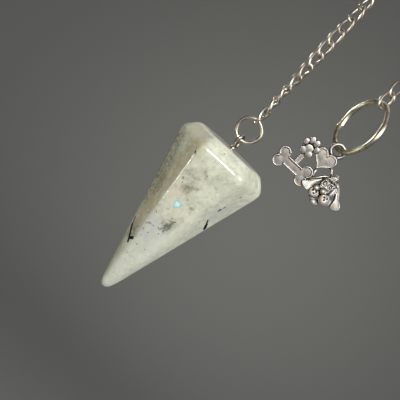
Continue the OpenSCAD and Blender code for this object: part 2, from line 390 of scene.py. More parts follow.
def facet_planes():
    """Outward normals of the facets, divided by their distance from the heart of the stone:
    a point p lies on facet n where the dot product of n and p is 1. Seven small facets that
    touch a ball at the tip blunt the point. Two at the rubbed corners come last."""
    table = corner_ring(TABLE_CORNER, 0) - HEART_OF_STONE
    girdle = corner_ring(GIRDLE_CORNER, -CROWN) - HEART_OF_STONE
    tip = np.array([TIP_SHIFT, 0, -SHARP_LENGTH]) - HEART_OF_STONE
    following = np.roll(np.arange(6), -1)
    crown = np.cross(girdle - table, table[following] - table)
    pavilion = np.cross(girdle[following] - girdle, tip - girdle)
    flat = np.array([[0, 0, 1 / table[0, 2]]])
    crown /= np.sum(crown * table, 1, keepdims=True)
    pavilion /= np.sum(pavilion * girdle, 1, keepdims=True)
    leaning = corner_ring(math.sin(TIP_LEAN), -math.cos(TIP_LEAN))
    blunt = np.concatenate([leaning, [[0, 0, -1]]])
    ball = np.array([TIP_SHIFT, 0, TIP_BALL - STONE_LENGTH - TIP_ALLOWANCE]) - HEART_OF_STONE
    blunt /= blunt @ ball[:, None] + TIP_BALL
    worn = []
    for k, share in RUBBED.items():
        halfway = pavilion[k - 1] + pavilion[k]
        worn.append(halfway / (halfway @ girdle[k]) / share)
    return np.concatenate([flat, crown, pavilion, blunt, worn])


FACETS = facet_planes()
print("facets:", len(FACETS))

# %% Build the stone
EDGE_POWER = 28
# The edge in front on the left is the crispest: the power there, and the edge's direction
# in degrees and height from the heart, each with its reach
CRISP_POWER = 46
CRISP_CORNER = (-115, 16)
CRISP_HEIGHT = (-1, 8.5)
AROUND = 264
CROWDING = 0.6
WAVE_SEED = 11
WAVE_COUNT = 14
WAVE_HEIGHT = 0.0022


def bell(values, middle, reach):
    """1 at the middle, falling away on both sides along a flat-topped bell curve."""
    return np.exp(-(((values - middle) / reach) ** 4))


def gauge(points):
    """Power mean of the shares of the way to each facet, for points from the heart. The
    power rises towards the crispest edge."""
    direction = np.degrees(np.arctan2(points[..., 1], points[..., 0]))
    near = bell(direction, *CRISP_CORNER) * bell(points[..., 2], *CRISP_HEIGHT)
    power = EDGE_POWER + (CRISP_POWER - EDGE_POWER) * near[..., None]
    shares = np.clip(points @ FACETS.T, 0, None)
    return np.sum(shares**power, -1) ** (1 / power[..., 0])


def polish_waves(points):
    """Soft waves over the surface: the mean of sines of 5 to 16 mm length in seeded
    directions, from -1 to 1."""
    draw = np.random.default_rng(WAVE_SEED)
    waves = unit(draw.normal(size=(WAVE_COUNT, 3)))
    waves = waves * (2 * np.pi / draw.uniform(5, 16, (WAVE_COUNT, 1)))
    return np.sin(points @ waves.T + draw.uniform(0, 2 * np.pi, WAVE_COUNT)).mean(-1)


def stone_profile():
    """Radius and height of the plain body of revolution under the facets, as rows that
    crowd together at the flat top's edge, at the girdle and at the tip."""
    stops = np.array([
        [0.4, 0], [7.2, 0], [8.1, -0.25], [10.2, -CROWN + 0.35], [10.4, -CROWN - 0.8],
        [1.3, -STONE_LENGTH + 2.2], [0.9, -STONE_LENGTH + 0.5], [0.05, -STONE_LENGTH],
    ])
    counts = [14, 12, 22, 14, 190, 14, 12]
    rows = [
        a + (b - a) * np.linspace(0, 1, n, endpoint=False)[:, None]
        for a, b, n in zip(stops[:-1], stops[1:], counts)
    ]
    return np.concatenate([*rows, stops[-1:]])


def stone_grid():
    """Every point of the body of revolution, moved along its line from the heart until the
    gauge is 1. Columns crowd at the six corners: the angle is s less 0.6 sin(6 s) / 6, for
    an s that runs evenly round."""
    s = np.linspace(0, 2 * np.pi, AROUND, endpoint=False)
    angle = STONE_TURN + s - CROWDING * np.sin(6 * s) / 6
    profile = stone_profile()
    radius, height = profile[:, 0, None], profile[:, 1, None]
    rays = np.stack(
        [radius * np.cos(angle), radius * np.sin(angle), height + 0 * angle], -1
    ) - HEART_OF_STONE
    skin = rays / gauge(rays)[..., None]
    skin *= 1 + WAVE_HEIGHT * polish_waves(skin)[..., None]
    return skin + HEART_OF_STONE + [stone_x, 0, stone_top]


stone_points = stone_grid()
print("stone box mm:", np.ptp(stone_points.reshape(-1, 3), axis=0).round(2))

# %% [markdown]
# ### The milky stone
#
# Moonstone of this kind is a milky feldspar: light enters it and comes back softened, so the
# shader has a good share of scattering under the surface. Its colour drifts between greenish cream
# and grey, with a tan zone on one facet, brown blotches and black needles. A darker band along the
# far left side is painted shade, and a small patch is painted with a pale blue flash that glows
# faintly. The marks are charted as they are seen from the front: millimetres to the right of the
# axis and below the flat top.

# %% Chart the marks
# Black needles: right, down and half width at both ends of each stretch
NEEDLES = [
    [(-5.05, 24.1, 0.1), (-4.5, 25.7, 0.18)],
    [(-4.5, 25.7, 0.22), (-3.2, 27.7, 0.32)],
    [(-3.2, 27.7, 0.4), (-2.65, 28.6, 0.12)],
    [(-3.0, 27.9, 0.46), (-2.45, 27.3, 0.14)],
    [(6.5, 14.0, 0.08), (6.95, 15.1, 0.2)],
    [(6.95, 15.1, 0.28), (7.3, 16.1, 0.34)],
    [(6.92, 10.45, 0.17), (6.78, 10.95, 0.19)],
    [(7.25, 9.5, 0.11), (7.17, 9.8, 0.12)],
    [(8.22, 5.7, 0.11), (8.15, 6.0, 0.11)],
    [(-4.78, 4.85, 0.16), (-4.62, 5.3, 0.2)],
]
# Fine dark specks: right, down, half width
SPECKS = [
    (-3.65, 17.7, 0.15), (-3.6, 21.0, 0.17), (-6.2, 6.1, 0.12), (-6.5, 11.5, 0.11),
    (-6.12, 16.5, 0.2), (-5.1, 16.6, 0.13), (0.32, 6.9, 0.1), (-2.6, 11.3, 0.12),
    (3.77, 14.7, 0.12), (0.66, 13.3, 0.1), (-2.34, 19.6, 0.11), (-2.6, 19.4, 0.09),
    (-2.07, 24.1, 0.13), (1.9, 18.5, 0.11), (0.87, 18.4, 0.11), (0.0, 20.5, 0.12),
    (0.1, 21.8, 0.14), (-0.93, 22.2, 0.09), (-1.5, 25.5, 0.12), (-0.94, 27.6, 0.15),
    (2.0, 28.3, 0.17), (1.1, 27.4, 0.1), (-1.2, 30.5, 0.1), (0.0, 36.7, 0.16),
    (-0.25, 1.35, 0.13), (0.96, 22.7, 0.13), (-0.8, 24.1, 0.1), (-9.3, 4.2, 0.13),
]
# Short dark strands: right and down at both ends
STRANDS = [
    (0.85, 21.3, 1.3, 20.6), (1.3, 20.6, 1.45, 19.3), (1.75, 21.0, 1.7, 19.9),
    (0.75, 20.5, 0.95, 19.8), (1.0, 19.2, 1.3, 18.9), (0.5, 21.9, 0.75, 21.3),
    (1.25, 21.8, 1.6, 20.4), (1.5, 20.2, 1.65, 18.8), (0.95, 21.0, 1.1, 20.0),
    (-2.3, 22.65, -1.85, 22.2), (-1.85, 22.2, -1.5, 22.25), (-3.05, 10.55, -2.85, 10.2),
]
print("marks:", len(NEEDLES) + len(SPECKS) + len(STRANDS))


# %% Put a charted mark on the front of the stone
# Middle of the painted blue flash: right and down
PAINTED_FLASH = (-0.28, 15.4)


def on_front(right, down):
    """The place on the stone's front skin at right and down: the line of sight enters the
    stone where it meets the last of the facets that look towards it."""
    start = np.array([right, -30.0, -down]) - HEART_OF_STONE
    facing = FACETS[FACETS[:, 1] < -0.001]
    reach = ((1 - facing @ start) / facing[:, 1]).max()
    return (stone_x + right, start[1] + reach, stone_top - down)


print("flash sits at", tuple(round(v, 2) for v in on_front(*PAINTED_FLASH)))


# %% Helpers for the stone's marks
class StoneTree(Tree):
    """A tree that can also draw streaks and patches at places on the stone."""

    def shaken(self, size, amount, offset):
        """The place, shaken by up to half of amount by noise whose lumps are about size
        millimetres wide, so that what is drawn there gets uneven edges."""
        moved = self.vector("ADD", self.vector("SCALE", self.place, Scale=1 / size), offset)
        shake = self.nodes.new("ShaderNodeTexNoise")
        self.fill(shake, {"Vector": moved, "Scale": 1.0})
        centred = self.vector("SUBTRACT", shake.outputs["Color"], (0.5, 0.5, 0.5))
        return self.vector("ADD", self.place, self.vector("SCALE", centred, Scale=amount))

    def streak(self, start, end, width, soft, place):
        """1 within width of the line between two charted places, fading out over soft."""
        start, end = np.array(on_front(*start)), np.array(on_front(*end))
        along = end - start
        offset = self.vector("SUBTRACT", place, tuple(start))
        ahead = self.vector("DOT_PRODUCT", offset, tuple(along / (along @ along)))
        share = self.math("MULTIPLY", ahead, 1.0, clamp=True)
        foot = self.vector("SCALE", tuple(along), Scale=share)
        distance = self.vector("LENGTH", self.vector("SUBTRACT", offset, foot))
        return self.step(distance, width, width + soft, 1.0, 0.0)

    def patch(self, right, down, radius, soft, place):
        """1 within radius of a charted place, fading out over soft."""
        offset = self.vector("SUBTRACT", place, on_front(right, down))
        distance = self.vector("LENGTH", offset)
        return self.step(distance, radius, radius + soft, 1.0, 0.0)

    def most(self, shares):
        """The largest of several shares."""
        result = shares[0]
        for share in shares[1:]:
            result = self.math("MAXIMUM", result, share)
        return result

    def times(self, *shares):
        """The product of several shares. A plain 1 is passed over."""
        result = shares[0]
        for share in shares[1:]:
            if share != 1:
                result = self.math("MULTIPLY", result, share)
        return result


# %% Colour the stone's body
def stone_body(tree, drifting):
    """Cream and greenish grey clouds, a web of fine grey mottling and pale flecks."""
    clouds = tree.step(tree.noise(4.0, 5.0, 0.6, place=drifting), 0.36, 0.64)
    colour = tree.mix(clouds, (0.56, 0.575, 0.46), (0.69, 0.70, 0.57))
    mottle = tree.noise(1.35, 6.0, 0.66, offset=(9, 2, 5))
    colour = tree.mix(tree.step(mottle, 0.47, 0.74, 0.0, 0.75), colour, (0.42, 0.435, 0.36))
    ridge = tree.math("SUBTRACT", tree.noise(2.6, 4.0, 0.6, offset=(5, 5, 2)), 0.5)
    veins = tree.step(tree.math("ABSOLUTE", ridge), 0.0, 0.03, 0.5, 0.0)
    colour = tree.mix(tree.times(veins, tree.step(mottle, 0.4, 0.6)), colour, (0.38, 0.39, 0.33))
    flecks = tree.step(tree.noise(0.65, 4.0, 0.65, offset=(1, 8, 3)), 0.52, 0.72, 0.0, 0.6)
    return tree.mix(flecks, colour, (0.78, 0.79, 0.70))


# %% Chart the stains
# Grain of each stain, its strength and colour, and then its shapes: charted places (right and
# down) joined by a line, half width and fading width. The first entry is painted shade along the
# far left side.
STAINS_AND_SHADE = {
    # Painted shade: a dark band just inside the left side, where the stone turns away from the
    # light
    "painted shade on the far left": ("fine", 1, (0.24, 0.245, 0.165), [
        ([(-9.6, 6.4), (-8.4, 9.6), (-7.2, 14.5), (-6.0, 19.0)], 1.2, 3.1),
    ]),
    "tan along the left edge": ("patchy", 1, (0.50, 0.44, 0.26), [
        ([(-5.9, 3.6), (-5.9, 6.0), (-5.6, 9.7), (-5.1, 14.0), (-4.5, 19.0), (-4.3, 23.0)],
         0.3, 3.3),
    ]),
    "tan below it": ("even", 0.75, (0.47, 0.42, 0.31), [
        ([(-4.4, 22.5), (-4.2, 27.0), (-3.2, 31.5), (-1.9, 36.0)], 0.0, 1.6),
    ]),
    "cool grey towards the tip": ("even", 0.45, (0.555, 0.58, 0.53), [
        ([(1.5, 23.0), (0.6, 30.0), (0.0, 38.0)], 0.5, 4.5),
    ]),
    "pale on the lower right": ("even", 0.5, (0.76, 0.775, 0.67), [
        ([(4.4, 18.5), (3.5, 23.5), (2.4, 29.5)], 0.3, 2.2),
    ]),
    "pink tinge": ("fine", 0.5, (0.56, 0.48, 0.38), [
        ([(-2.0, 14.0)], 0.2, 3.0), ([(-0.1, 7.4)], 0.0, 1.4), ([(1.6, 17.0)], 0.0, 2.6),
    ]),
    "cream on the left of the crown": ("even", 0.6, (0.75, 0.72, 0.55), [
        ([(-8.8, 1.6), (-6.4, 1.6)], 0.5, 2.0),
    ]),
    "blush on the crown": ("fine", 0.5, (0.62, 0.54, 0.41), [([(-5.8, 2.5)], 0.0, 1.6)]),
    "brown blotches": ("fine", 1, (0.285, 0.24, 0.16), [
        ([(-6.2, 14.6)], 0.5, 1.9), ([(-5.6, 16.6)], 0.0, 1.5), ([(-0.9, 11.3)], 0.3, 1.9),
        ([(-0.4, 6.6)], 0.0, 1.3),
    ]),
    "olive blotches": ("fine", 1, (0.20, 0.21, 0.15), [
        ([(-0.1, 10.9)], 0.2, 1.1), ([(-1.4, 8.9)], 0.0, 1.2), ([(-2.8, 9.0)], 0.0, 1.6),
        ([(-3.3, 26.4)], 0.5, 2.2), ([(1.1, 20.0)], 0.4, 2.1), ([(2.6, 14.0)], 0.0, 0.8),
    ]),
    "bluish haze": ("even", 0.65, (0.50, 0.51, 0.525), [
        ([(-1.6, 21.0), (-0.2, 23.7), (-1.0, 25.0)], 0.0, 2.2),
        ([(7.6, 9.4), (6.7, 12.8)], 0.1, 2.4),
    ]),
}
print("stains:", len(STAINS_AND_SHADE))


# %% Stain the stone
def shape_share(tree, points, width, soft, place):
    """1 within width of a line through charted places, or of a single one, fading out over
    soft."""
    if len(points) == 1:
        return tree.patch(*points[0], width, soft, place)
    return tree.most([
        tree.streak(a, b, width, soft, place) for a, b in zip(points[:-1], points[1:])
    ])


def stone_stains_and_shade(tree, colour, drifting):
    """Every charted stain, and the band of painted shade on the far left, laid over the colour in
    turn, broken up by its grain.
    """
    grains = {
        "fine": tree.step(tree.noise(0.7, 5.0, 0.65, offset=(4, 1, 1)), 0.36, 0.66, 0.35, 1.0),
        "patchy": tree.step(tree.noise(1.3, 5.0, 0.65, offset=(2, 6, 6)), 0.36, 0.6, 0.2, 0.95),
        "even": 1,
    }
    for grain, strength, overlay_colour, shapes in STAINS_AND_SHADE.values():
        share = tree.most([shape_share(tree, *shape, drifting) for shape in shapes])
        colour = tree.mix(tree.times(share, grains[grain], strength), colour, overlay_colour)
    return colour


def stone_marks(tree, colour, ragged, frayed):
    """Dark strands, specks and black needles, sharp against the milky body."""
    strands = [tree.streak(row[:2], row[2:], 0.03, 0.3, frayed) for row in STRANDS]
    colour = tree.mix(tree.times(tree.most(strands), 0.7), colour, (0.08, 0.085, 0.065))
    specks = [tree.patch(right, down, width * 0.6, 0.16, ragged) for right, down, width in SPECKS]
    colour = tree.mix(tree.times(tree.most(specks), 0.75), colour, (0.05, 0.045, 0.035))
    needles = [
        tree.streak(start[:2], end[:2], (start[2] + end[2]) / 2, 0.14, ragged)
        for start, end in NEEDLES
    ]
    return tree.mix(tree.most(needles), colour, (0.008, 0.007, 0.005))


# %% Make the stone's finish
def stone_finish():
    """Milky stone: clouds, stains, needles and specks, a band of painted shade on the far left,
    and one patch painted with a blue flash that glows faintly.
    """
    tree = StoneTree("moonstone")
    ragged = tree.shaken(0.5, 0.35, (2, 5, 1))
    drifting = tree.shaken(1.9, 3.2, (7, 0, 4))
    colour = stone_body(tree, drifting)
    colour = stone_stains_and_shade(tree, colour, drifting)
    colour = stone_marks(tree, colour, ragged, tree.shaken(0.4, 0.9, (1, 4, 8)))
    # Painted light: a blue flash mixed into the colour, glowing faintly by emission
    broken = tree.shaken(0.9, 1.1, (6, 6, 2))
    painted_flash = tree.patch(*PAINTED_FLASH, 0.1, 1.15, broken)
    bright = tree.step(painted_flash, 0.05, 0.6)
    blue = tree.mix(tree.step(painted_flash, 0.3, 1.0), (0.26, 0.50, 0.54), (0.62, 0.84, 0.86))
    colour = tree.mix(bright, colour, blue)
    tree.bump(tree.noise(0.9, 4.0, 0.6), 0.010)
    return tree.finish(
        Base_Color=colour,
        Roughness=0.11,
        IOR=1.53,
        Subsurface_Weight=0.25,
        Subsurface_Radius=(1.0, 1.0, 0.8),
        Subsurface_Scale=0.0008,
        Emission_Color=(0.35, 0.85, 1.0),
        Emission_Strength=tree.times(bright, 0.05),
    )


piece(
    "pendulum_point", mesh_of("pendulum_point", [stone_points], [False]),
    stone_finish(), "drop", "moonstone", "pendulum_stone",
)

# %% [markdown]
# ## Eye and rings
#
# The eye is one wire bent into a narrow loop on a peg that goes into the stone. The small
# and the large ring are cut from a coil of wire and pressed shut, so their ends meet in a
# seam and never line up quite. A torus would hide that, so the eye and both rings are wires
# carried along a path of their own.

# %% Build the eye
EYE_WIRE = 0.7
EYE_WIDTH = 2.6
EYE_HEIGHT = 3.5
EYE_TURN = math.radians(-24)
PEG_WIDTH = 1.0
PEG_DEPTH = 3
EYE_TOP = node_box("eye_pin")[1][2]


def eye_path():
    """Middle line of the eye: two half circles joined by straight legs, as one loop in the
    plane of across and up."""
    radius = (EYE_WIDTH - EYE_WIRE) / 2
    rise = (EYE_HEIGHT - EYE_WIDTH) / 2
    t = np.linspace(0, np.pi, 40)
    upper = np.stack([radius * np.cos(t), rise + radius * np.sin(t)], 1)
    return np.concatenate([upper, -upper])


def turned(flat, angle, place):
    """A flat path (across, up) set upright, turned about the vertical and moved to place."""
    across = np.array([math.cos(angle), math.sin(angle), 0])
    return place + flat[:, :1] * across + flat[:, 1:] * np.array([0, 0, 1.0])


eye_middle = np.array([stone_x, 0, EYE_TOP - EYE_HEIGHT / 2])
eye_direction = EYE_TURN + math.pi / 2
eye_across = np.array([-math.sin(eye_direction), math.cos(eye_direction), 0])
eye_line = turned(eye_path(), eye_direction, eye_middle)
eye_loop = tube(eye_line, EYE_WIRE / 2, eye_across, 20, True)
peg_top = EYE_TOP - EYE_HEIGHT + EYE_WIRE / 2 + 0.02
peg_heights = [peg_top, stone_top + 0.1, stone_top - PEG_DEPTH]
peg_line = np.array([[stone_x, 0, height] for height in peg_heights])
peg = tube(peg_line, PEG_WIDTH / 2, (1, 0, 0), 28)
# The eye's darker wire is painted shade for its place in the small ring's shadow
piece(
    "wire_eye", mesh_of("wire_eye", [eye_loop, peg], [True, False]),
    shaded_eye_wire, "drop", "plated_wire", "eye_pin",
)


# %% Build the rings
RING_ROWS = 160


def open_ring(radius, wire, seam, gap, skew, wobble):
    """A wire bent to a circle in the front plane from one side of the seam round to the
    other. Its ends stand apart by gap along the wire and by skew square to the ring, and
    wobble lets the ring lean in and out like one that was closed with pliers."""
    half = gap / radius / 2
    t = np.linspace(seam + half, seam + 2 * np.pi - half, RING_ROWS)
    share = np.linspace(-0.5, 0.5, RING_ROWS)
    sideways = skew * np.sign(share) * np.abs(2 * share) ** 5 / 2 + wobble * np.sin(2 * t + 1)
    bent = radius + wobble * 0.6 * np.cos(3 * t)
    path = np.stack([bent * np.cos(t), sideways, bent * np.sin(t)], 1)
    path, radii = round_ends(path, wire / 2, steps=4, bulge=0.25)
    return tube(path, radii, unit(path * [1, 0, 1]), 24)


def ring_measures(node, wire):
    """Middle of a packed ring, and the radius of its wire's middle line."""
    low, high = node_box(node)
    return (low + high) / 2, (high[2] - low[2] - wire) / 2


def upright(grid, angle, place):
    """A grid made in the front plane, turned about the vertical and moved to its place."""
    c, s = math.cos(angle), math.sin(angle)
    return grid @ np.array([[c, s, 0], [-s, c, 0], [0, 0, 1]]) + place


RING_WIRE = 0.7
RING_SEAM = math.radians(208)
ring_place, ring_radius = ring_measures("drop_ring", RING_WIRE)
small_ring = open_ring(ring_radius, RING_WIRE, RING_SEAM, gap=0.03, skew=0.16, wobble=0.03)
piece(
    "small_ring", mesh_of("small_ring", [upright(small_ring, 0, ring_place)], [False]),
    plated_wire, "ring", "plated_wire", "drop_ring",
)

HOLDING_WIRE = 1.1
HOLDING_TURN = math.radians(-60)
HOLDING_SEAM = math.radians(201)
holding_place, holding_radius = ring_measures("holding_ring", HOLDING_WIRE)
large_ring = open_ring(
    holding_radius, HOLDING_WIRE, HOLDING_SEAM, gap=0.14, skew=0.34, wobble=0.02
)
piece(
    "large_ring",
    mesh_of("large_ring", [upright(large_ring, HOLDING_TURN, holding_place)], [False]),
    warm_wire, "suspension", "warm_wire", "holding_ring",
)

# %% [markdown]
# ## Chain: one twisted link, placed fifty times
#
# In a curb chain every link is an oval that is twisted by a quarter turn between its ends,
# so that the links lie flat on each other. An array modifier along a curve can't turn each
# link by its own angle, and here the strand untwists as it hangs. So one link is worked
# out as a grid, and all the links come from it in a single product with their rotations.

# %% Lay out the chain
LINK_PITCH = 3.15
LINK_WIRE = 0.62
LINK_WIDTH = 2.85
SLACK = 0.16
BEND_RADIUS = 8.2
BEND_SHIFT = math.radians(-2.8)
STONE_SIDE_LINKS = 24
CHARM_SIDE_LINKS = 18
# Turn of the links from facing the front, upwards from the stone and from the large ring
STONE_SIDE_FACES = [66, 77, 73, 63, 47, 34, 16, 0, -20, -32, -50, -64, -76, -86]
CHARM_SIDE_FACES = [0, -4, -12, -24, -38, -52, -66, -80]
HOOK_FACE = -90

bend_step = 2 * math.asin(LINK_PITCH / (2 * BEND_RADIUS))
bend_links = round(math.pi / bend_step)


def chain_joints():
    """Places where links meet, from the stone over the hook to the large ring: a straight
    strand, an arc about the origin and a second straight strand."""
    angle = (np.arange(bend_links + 1) - bend_links / 2) * bend_step + BEND_SHIFT
    bend = BEND_RADIUS * np.stack([np.sin(angle), 0 * angle, np.cos(angle)], 1)
    down = np.array([0, 0, -LINK_PITCH])
    rising = bend[0] + np.arange(STONE_SIDE_LINKS, 0, -1)[:, None] * down
    falling = bend[-1] + np.arange(1, CHARM_SIDE_LINKS + 1)[:, None] * down
    return np.concatenate([rising, bend, falling])


def link_faces():
    """Turn of every link about its own length, in degrees: the two strands follow their
    tables and then lie as the links on the hook do."""
    total = STONE_SIDE_LINKS + bend_links + CHARM_SIDE_LINKS
    faces = np.full(total, float(HOOK_FACE))
    faces[: len(STONE_SIDE_FACES)] = STONE_SIDE_FACES
    faces[total - len(CHARM_SIDE_FACES):] = CHARM_SIDE_FACES[::-1]
    return faces


joints = chain_joints()
print("links:", len(joints) - 1, "length mm:", round((len(joints) - 1) * LINK_PITCH, 1))


# %% Build the links
LINK_ROWS = 56
FULLNESS = 2.3


def filled(values):
    """Cosines or sines grown towards 1, by the power 2 / fullness, with their signs kept."""
    return np.sign(values) * np.abs(values) ** (2 / FULLNESS)


def link_grid():
    """One link along Z: an oval fuller than an ellipse, each of its points turned about Z
    by an angle that runs evenly from one end of the link to the other."""
    t = 2 * np.pi * (np.arange(LINK_ROWS) + 0.5) / LINK_ROWS
    reach = (LINK_PITCH + LINK_WIRE + SLACK) / 2
    across = (LINK_WIDTH - LINK_WIRE) / 2 * filled(np.cos(t))
    along = reach * filled(np.sin(t))
    twist = -np.pi / 2 * along / (2 * reach)
    path = np.stack([across * np.cos(twist), across * np.sin(twist), along], 1)
    flat = np.stack([-np.sin(twist), np.cos(twist), 0 * twist], 1)
    return tube(path, LINK_WIRE / 2, flat, 16, True)


def link_turns(joints, faces):
    """A rotation for each link: its Z axis runs from joint to joint, after a turn about Z."""
    along = unit(np.diff(joints, axis=0))
    lean = np.arctan2(along[:, 0], along[:, 2])
    face = np.radians(faces)
    zero, one = np.zeros(len(face)), np.ones(len(face))
    spin = np.array([
        [np.cos(face), -np.sin(face), zero],
        [np.sin(face), np.cos(face), zero],
        [zero, zero, one],
    ])
    tilt = np.array([
        [np.cos(lean), zero, np.sin(lean)],
        [zero, one, zero],
        [-np.sin(lean), zero, np.cos(lean)],
    ])
    return np.einsum("abn,bcn->nac", tilt, spin)


turns = link_turns(joints, link_faces())
middles = (joints[1:] + joints[:-1]) / 2
links = np.einsum("nab,kjb->nkja", turns, link_grid()) + middles[:, None, None]
piece(
    "chain_links", mesh_of("chain_links", list(links), [True] * len(links)),
    plated_wire, "suspension", "plated_wire", "curb_chain",
)

# %% [markdown]
# ## Charm: soft forms, fused like a casting
#
# The charm is cast in one piece. It could be sculpted, but a casting starts as a wax model,
# and that is built up here: flat slabs for the heart, the paw print, the bone and the head,
# ropes for hair and brows, and pebbles for the pupils and under the muzzle. They are fused
# by a voxel remesh, which melts the joins the way wax does, and smoothed a little. Measures
# are from the middle of the loop: right and up, in millimetres.

# %% Forms for the charm
def pebble(x, z, width, height, depth, out):
    """A ball about x, z, stretched to width, height and depth and moved out to the front."""
    polar = np.linspace(0.02, np.pi - 0.02, 20)[:, None]
    around = np.linspace(0, 2 * np.pi, 32, endpoint=False)[None, :]
    return np.stack([
        x + width / 2 * np.sin(polar) * np.cos(around),
        depth / 2 * np.cos(polar) + 0 * around - out,
        z + height / 2 * np.sin(polar) * np.sin(around),
    ], -1)


FACE_ROWS = 8
RIM_ROWS = 6
# Share of a slab's size that its rounded rim takes up
RIM_SHARE = 0.08


def slab(outline, thickness, rim=0.16, dome=0.0, out=0.0, tilt=0.0):
    """A flat form with a rounded rim: the outline is carried from the back's middle over
    the rim to the front's middle, as rows that are shares of it at heights of their own.
    The faces may be domed, and tilted to look up."""
    t = np.linspace(0, np.pi / 2, RIM_ROWS)
    face_shares = np.linspace(0.03, 0.9, FACE_ROWS)
    rim_shares = 1 - RIM_SHARE * (1 - np.sin(t))
    face_heights = np.full(FACE_ROWS, thickness / 2)
    rim_heights = thickness / 2 - rim * (1 - np.cos(t))
    shares = np.concatenate([face_shares, rim_shares, rim_shares[-2::-1], face_shares[::-1]])
    heights = np.concatenate([face_heights, rim_heights, -rim_heights[-2::-1], -face_heights])
    heights = heights + np.sign(heights) * dome * (1 - shares**2)
    middle = outline.mean(0)
    spread = middle + (outline - middle)[None] * shares[:, None, None]
    depth = heights[:, None] - out + tilt * (spread[..., 1] - middle[1])
    return np.stack([spread[..., 0], depth, spread[..., 1]], -1)


def rope(path, radii):
    """A rounded strip through the points of the path, whose corners are smoothed. Its
    radius runs evenly from point to point."""
    path = np.array(path, float)
    share = np.concatenate([[0], np.cumsum(np.linalg.norm(np.diff(path, axis=0), axis=1))])
    fine = np.linspace(0, share[-1], 24)
    line = np.stack([np.interp(fine, share, path[:, k]) for k in range(3)], 1)
    for _ in range(3):
        line[1:-1] = (line[:-2] + 2 * line[1:-1] + line[2:]) / 4
    line, radius = round_ends(line, np.interp(fine, share, radii))
    return tube(line, radius, (0, 1, 0))


# %% Outlines for the charm
def round_outline(x, z, width, height):
    """An oval outline about x, z."""
    t = np.linspace(0, 2 * np.pi, 48, endpoint=False)
    return np.stack([x + width / 2 * np.cos(t), z + height / 2 * np.sin(t)], 1)


def bar_outline(x0, z0, x1, z1, width):
    """The outline of a bar with round ends between two points."""
    a, b = np.array([x0, z0], float), np.array([x1, z1], float)
    along = unit(b - a)
    side = np.array([-along[1], along[0]])
    t = np.linspace(-np.pi / 2, np.pi / 2, 24)[:, None]
    far = b + width / 2 * (np.cos(t) * along + np.sin(t) * side)
    near = a - width / 2 * (np.cos(t) * along + np.sin(t) * side)
    return np.concatenate([far, near])


def heart_outline(x, z, width, height):
    """A heart about x, z: right is 16 times the cube of sin t, up is 13 cos t - 5 cos 2t
    - 2 cos 3t - cos 4t, and both are scaled to width and height."""
    t = np.linspace(0, 2 * np.pi, 96, endpoint=False)
    right = 16 * np.sin(t) ** 3
    up = 13 * np.cos(t) - 5 * np.cos(2 * t) - 2 * np.cos(3 * t) - np.cos(4 * t)
    up -= (up.max() + up.min()) / 2
    return np.stack([x + right * width / 32, z + up * height / np.ptp(up)], 1)


def smooth_outline(corners, points):
    """A smooth closed outline through a few corners: their straight sides are cut into
    short steps, and each step then moves towards the mean of its neighbours four times."""
    closed = np.concatenate([corners, corners[:1]])
    share = np.arange(len(closed))
    t = np.linspace(0, len(corners), points, endpoint=False)
    line = np.stack([np.interp(t, share, closed[:, k]) for k in range(2)], 1)
    for _ in range(4):
        line = (np.roll(line, 1, 0) + 2 * line + np.roll(line, -1, 0)) / 4
    return line


def at_depth(flat, depth):
    """A flat path (right, up) as places at a depth, which is negative towards the front."""
    return np.insert(flat, 1, depth, axis=1)


# %% Make the loop, the heart and the paw print
CHARM_THICK = 1.6
LOOP_WIDTH = 3.7
LOOP_WIRE = 0.84
charm_high = node_box("dog_charm")[1]
loop_place = np.array([holding_place[0], 0, charm_high[2] - LOOP_WIDTH / 2])
# Middle, width and height of the heart and the bone. The paw print starts from its top
HEART = (-0.87, -3.5, 5.25, 4.65)
PAW = (-4.76, -1.25, 3.7, 4.4)
BONE = (-4.75, -8.58, 8.7, 4.8)
HEART_THICK = CHARM_THICK * 0.85
# Toes and lobes of the paw print, as shares of its size: right, down, width and height
PAW_ROUNDS = [
    (-0.38, 0.37, 0.3, 0.38), (-0.155, 0.14, 0.32, 0.42), (0.155, 0.14, 0.32, 0.42),
    (0.38, 0.37, 0.3, 0.38), (0, 0.55, 0.5, 0.5), (-0.19, 0.76, 0.42, 0.42),
    (0.19, 0.76, 0.42, 0.42),
]


def loop_ring():
    """The loop, a closed wire."""
    t = np.linspace(0, 2 * np.pi, 64, endpoint=False)
    path = (LOOP_WIDTH - LOOP_WIRE) / 2 * np.stack([np.cos(t), 0 * t, np.sin(t)], 1)
    return tube(path, LOOP_WIRE / 2, unit(path), 20, True)


def heart_rim():
    """The heart's low raised rim, a closed wire on its face."""
    x, z, width, height = HEART
    inner = heart_outline(x, z, width - 0.5, height - 0.5)
    return tube(at_depth(inner, -HEART_THICK / 2 + 0.04), 0.15, (0, 1, 0), 10, True)


def paw_forms():
    """A paw print: a pad of three lobes and four toes on a thin plate, with a stem."""
    x, top, width, height = PAW
    rounds = [
        round_outline(x + a * width, top - b * height, c * width, d * width)
        for a, b, c, d in PAW_ROUNDS
    ]
    plate = round_outline(x, top - height * 0.5, width * 0.86, height * 0.74)
    stem = bar_outline(x, top - height * 0.85, x, BONE[1], 1.1)
    forms = [slab(outline, CHARM_THICK * 1.1, 0.14, 0.06, out=0.1) for outline in rounds]
    return forms + [slab(plate, CHARM_THICK * 0.6), slab(stem, CHARM_THICK * 0.9)]


upper_forms = [slab(heart_outline(*HEART), HEART_THICK, rim=0.3, dome=0.05)] + paw_forms()
print("forms in the heart and the paw print:", len(upper_forms))


# %% Make the bone and the struts
# The bone's rim: the radius of its wire, and how far it stands in from the edge
BONE_RIM = 0.17
BONE_RIM_INSET = 0.2
# Radius of the knobs and half width of the shaft, as shares of the bone's height
KNOB_SHARE = 0.27
SHAFT_SHARE = 0.22


